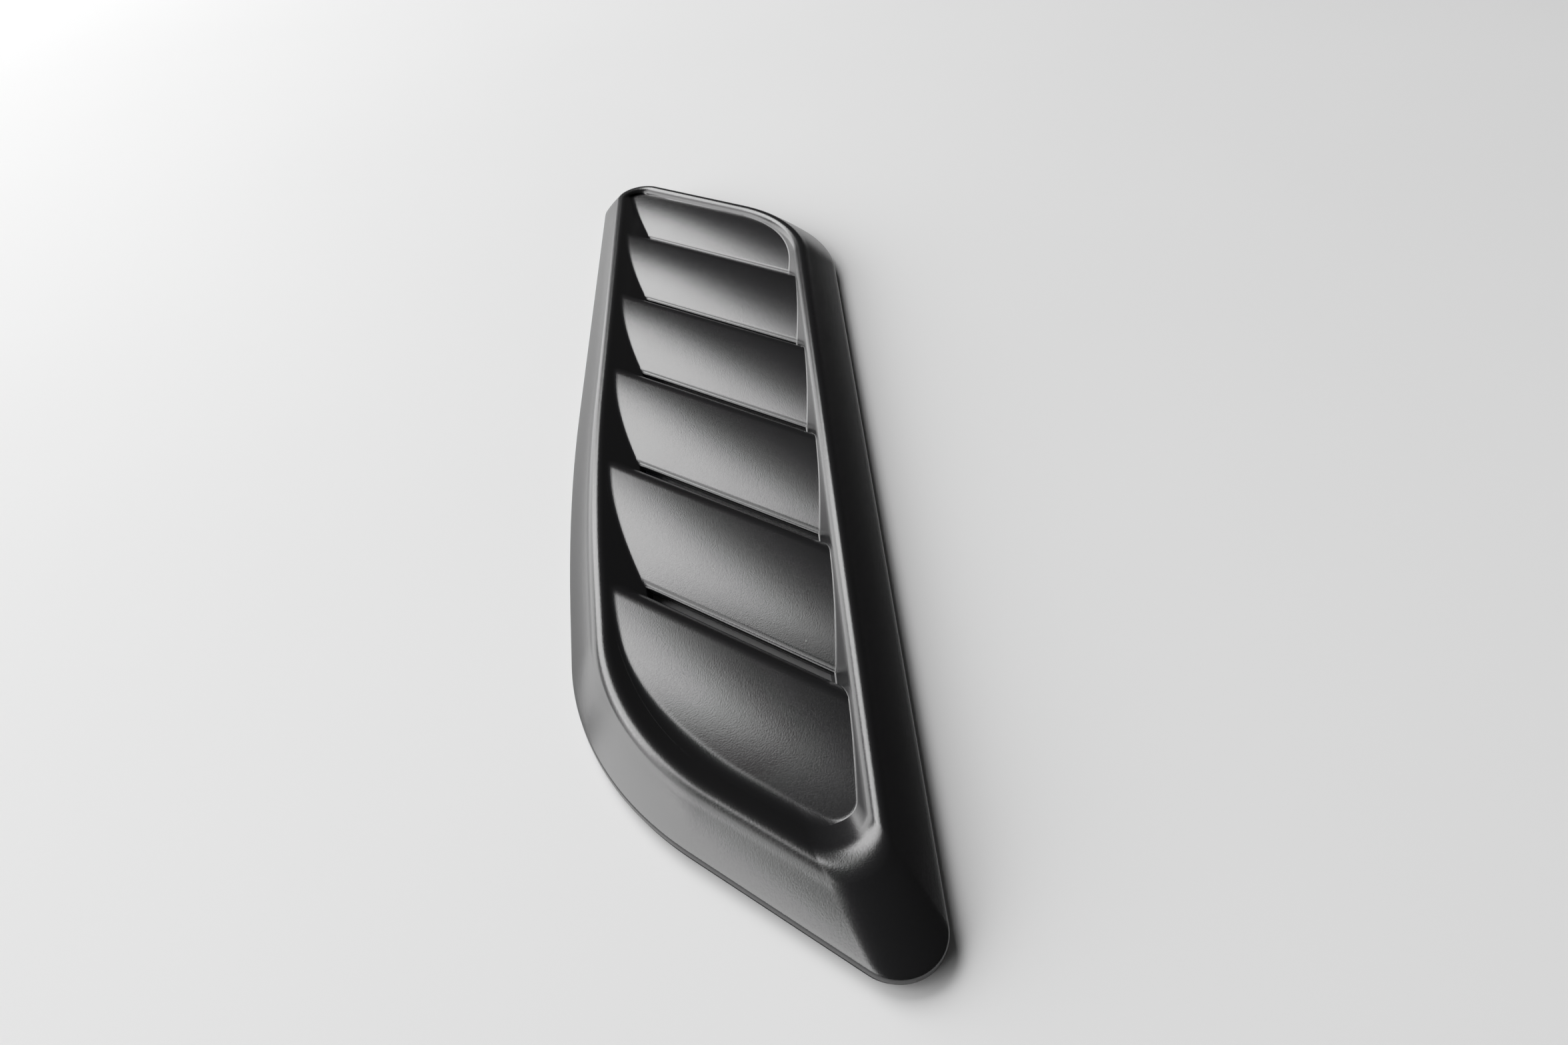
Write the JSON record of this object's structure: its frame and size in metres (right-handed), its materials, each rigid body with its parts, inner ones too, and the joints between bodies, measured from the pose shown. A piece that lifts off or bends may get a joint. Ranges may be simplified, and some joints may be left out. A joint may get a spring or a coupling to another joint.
{
  "type": "bonnet vent",
  "caption": "Louvred bonnet vent: a raised rounded rim round slanted curved slats and air slits, with a skirt, a foam gasket and threaded fixing studs.",
  "frame": {"origin": "centre of the rectangle of the middle studs, in the plane where the gasket meets the bonnet skin", "axes": "+X inboard, square to the straight long side; +Y along the vent to the rear of the car; +Z away from the bonnet"},
  "size_m": [0.1042, 0.4, 0.0265],
  "materials": {
    "black_plastic": "satin, fine moulded grain",
    "foam": "closed-cell foam",
    "steel": "zinc plated"
  },
  "bodies": {
    "root": {"louvre_moulding": "black_plastic", "foam_gasket": "foam", "fixing_studs": "steel"}
  },
  "joints": []
}
